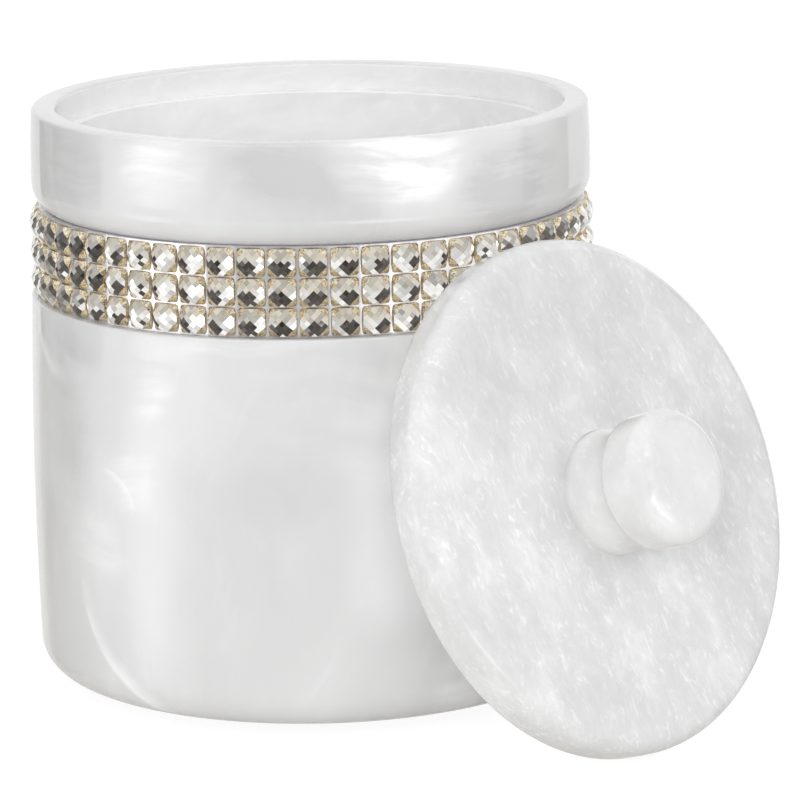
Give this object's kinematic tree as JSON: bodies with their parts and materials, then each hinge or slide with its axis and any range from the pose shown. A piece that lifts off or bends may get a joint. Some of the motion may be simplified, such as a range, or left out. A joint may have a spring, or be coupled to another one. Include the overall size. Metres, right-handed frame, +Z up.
{
  "type": "lidded canister",
  "caption": "Round cast-resin canister for cotton swabs, with a band of square crystals round its neck and a loose lid with a round knob leaning on its side.",
  "frame": {"origin": "on the table under the middle of the jar, on the underside of its pad", "axes": "+Z up along the jar's axis; -Y towards the front; the lid leans at the front right, between -Y and +X"},
  "size_m": [0.1323, 0.1367, 0.1044],
  "materials": {
    "jar_resin": "polished cast pearl resin with soft clouds",
    "lid_resin": "polished cast pearl resin with dense flakes",
    "knob_resin": "polished pearl resin",
    "silver_mesh": "silver-plated setting strip",
    "crystal": "foiled checkerboard-cut crystal, opaque through its foil",
    "pad_foam": "white closed-cell foam pad",
    "screw_steel": "zinc-plated screw",
    "insert_brass": "turned brass"
  },
  "bodies": {
    "jar": {"jar": "jar_resin", "base_pad": "pad_foam", "crystal_mesh": "silver_mesh", "crystals_top_row": "crystal", "crystals_middle_row": "crystal", "crystals_bottom_row": "crystal"},
    "lid": {"lid": "lid_resin", "knob": "knob_resin", "knob_screw": "screw_steel", "knob_insert": "insert_brass"}
  },
  "joints": [
    {"name": "lid_off", "type": "slide", "parent": "jar", "child": "lid", "axis": [0.6746, -0.6584, 0.3338], "range_m": [0, 0.08]}
  ]
}
